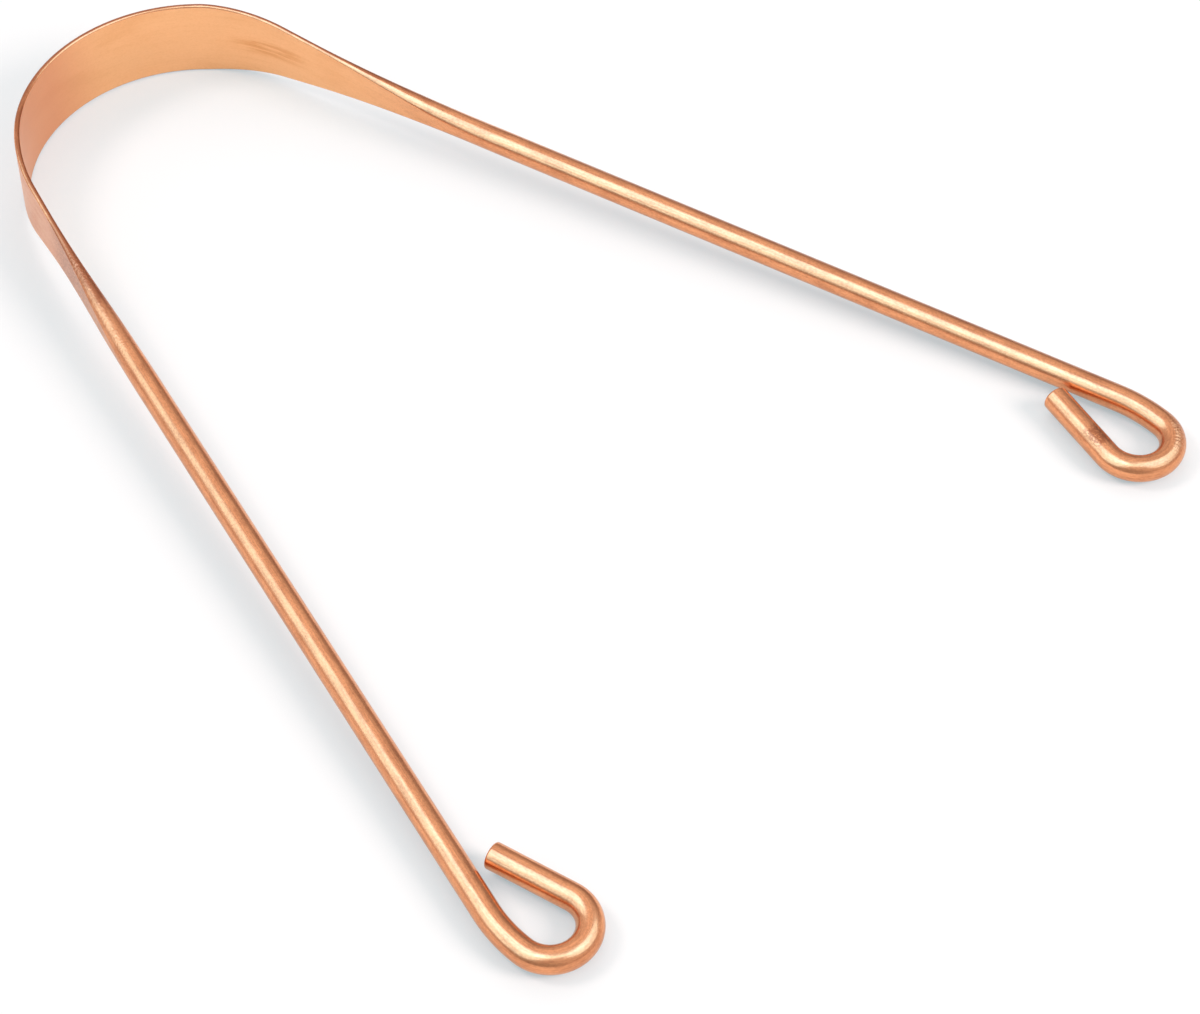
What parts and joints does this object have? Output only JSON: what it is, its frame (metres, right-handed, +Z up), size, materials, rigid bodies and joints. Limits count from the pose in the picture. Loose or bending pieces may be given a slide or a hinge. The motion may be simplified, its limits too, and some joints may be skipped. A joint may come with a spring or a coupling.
{
  "type": "tongue scraper",
  "caption": "U-shaped tongue scraper of bent copper rod: a thin bowed scraping band on edge, two springy round arms and an open eye at each end.",
  "frame": {"origin": "on the surface that the part stands on, under the middle of its box", "axes": "+X along the part from the scraping band to the eyes, +Y towards the right arm, +Z up with the part standing on its band and eyes"},
  "size_m": [0.134, 0.1014, 0.0107],
  "materials": {
    "bright_copper": "bare copper rod, drawn bright, with fine lengthwise draw lines",
    "satin_copper": "bare copper pressed flat, satin, with faint lengthwise streaks"
  },
  "bodies": {
    "crown": {"scraper_crown": "satin_copper"},
    "left_half": {"left_band_side": "satin_copper", "left_shoulder": "bright_copper", "left_arm": "bright_copper", "left_neck": "bright_copper", "left_eye": "bright_copper"},
    "right_half": {"right_band_side": "satin_copper", "right_shoulder": "bright_copper", "right_arm": "bright_copper", "right_neck": "bright_copper", "right_eye": "bright_copper"}
  },
  "joints": [
    {"name": "left_arm_flex", "type": "hinge", "parent": "crown", "child": "left_half", "pos_m": [-0.06063, -0.01414, 0.00525], "axis": [-0.0297, 0, -0.9996], "range_deg": [-8, 8], "stiffness_Nm_per_rad": 0.9},
    {"name": "right_arm_flex", "type": "hinge", "parent": "crown", "child": "right_half", "pos_m": [-0.06063, 0.01414, 0.00525], "axis": [0.0297, 0, 0.9996], "range_deg": [-8, 8], "stiffness_Nm_per_rad": 0.9}
  ]
}
